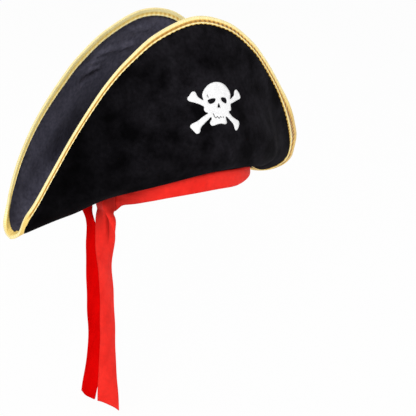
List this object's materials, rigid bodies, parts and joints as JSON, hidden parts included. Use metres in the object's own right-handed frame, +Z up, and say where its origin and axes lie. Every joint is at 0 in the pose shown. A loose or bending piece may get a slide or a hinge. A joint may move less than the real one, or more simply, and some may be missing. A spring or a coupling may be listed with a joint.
{
  "type": "pirate hat",
  "caption": "Velvet pirate hat with its brim turned up front and back, gold braided edge, skull-and-crossbones emblem and a red headband with hanging ribbon tails.",
  "frame": {"origin": "centre of the head opening in the plane of the red band's lower edge", "axes": "+X to the wearer's left, -Y towards the front with the emblem, +Z up"},
  "size_m": [0.394, 0.1868, 0.4495],
  "materials": {
    "velvet_black": "short black velvet pile",
    "velvet_facing": "thin blue-black velvet facing",
    "stiffener_felt": "pressed felt stiffener",
    "gold_braid": "ribbed metallic gold braid",
    "red_velvet": "bright red velvet ribbon",
    "white_print": "flat white heat-set cloth",
    "lining_cloth": "plain black lining"
  },
  "bodies": {
    "hat": {"brim_front_shell": "velvet_black", "brim_front_core": "stiffener_felt", "brim_front_facing": "velvet_facing", "brim_rear_shell": "velvet_black", "brim_rear_core": "stiffener_felt", "brim_rear_facing": "velvet_facing", "edge_braid": "gold_braid", "crown_side": "velvet_black", "crown_top": "velvet_black", "crown_lining": "lining_cloth", "sweatband": "lining_cloth", "headband": "red_velvet", "sash_fold": "red_velvet", "skull_emblem": "white_print"},
    "tail_front": {"tail_front": "red_velvet"},
    "tail_rear": {"tail_rear": "red_velvet"}
  },
  "joints": [
    {"name": "tail_front_swing", "type": "hinge", "parent": "hat", "child": "tail_front", "pos_m": [-0.103, -0.018, -0.01], "axis": [0.0349, -0.9994, 0], "range_deg": [-55, 40]},
    {"name": "tail_rear_swing", "type": "hinge", "parent": "hat", "child": "tail_rear", "pos_m": [-0.104, 0.0135, -0.01], "axis": [0.0349, -0.9994, 0], "range_deg": [-55, 40]}
  ]
}
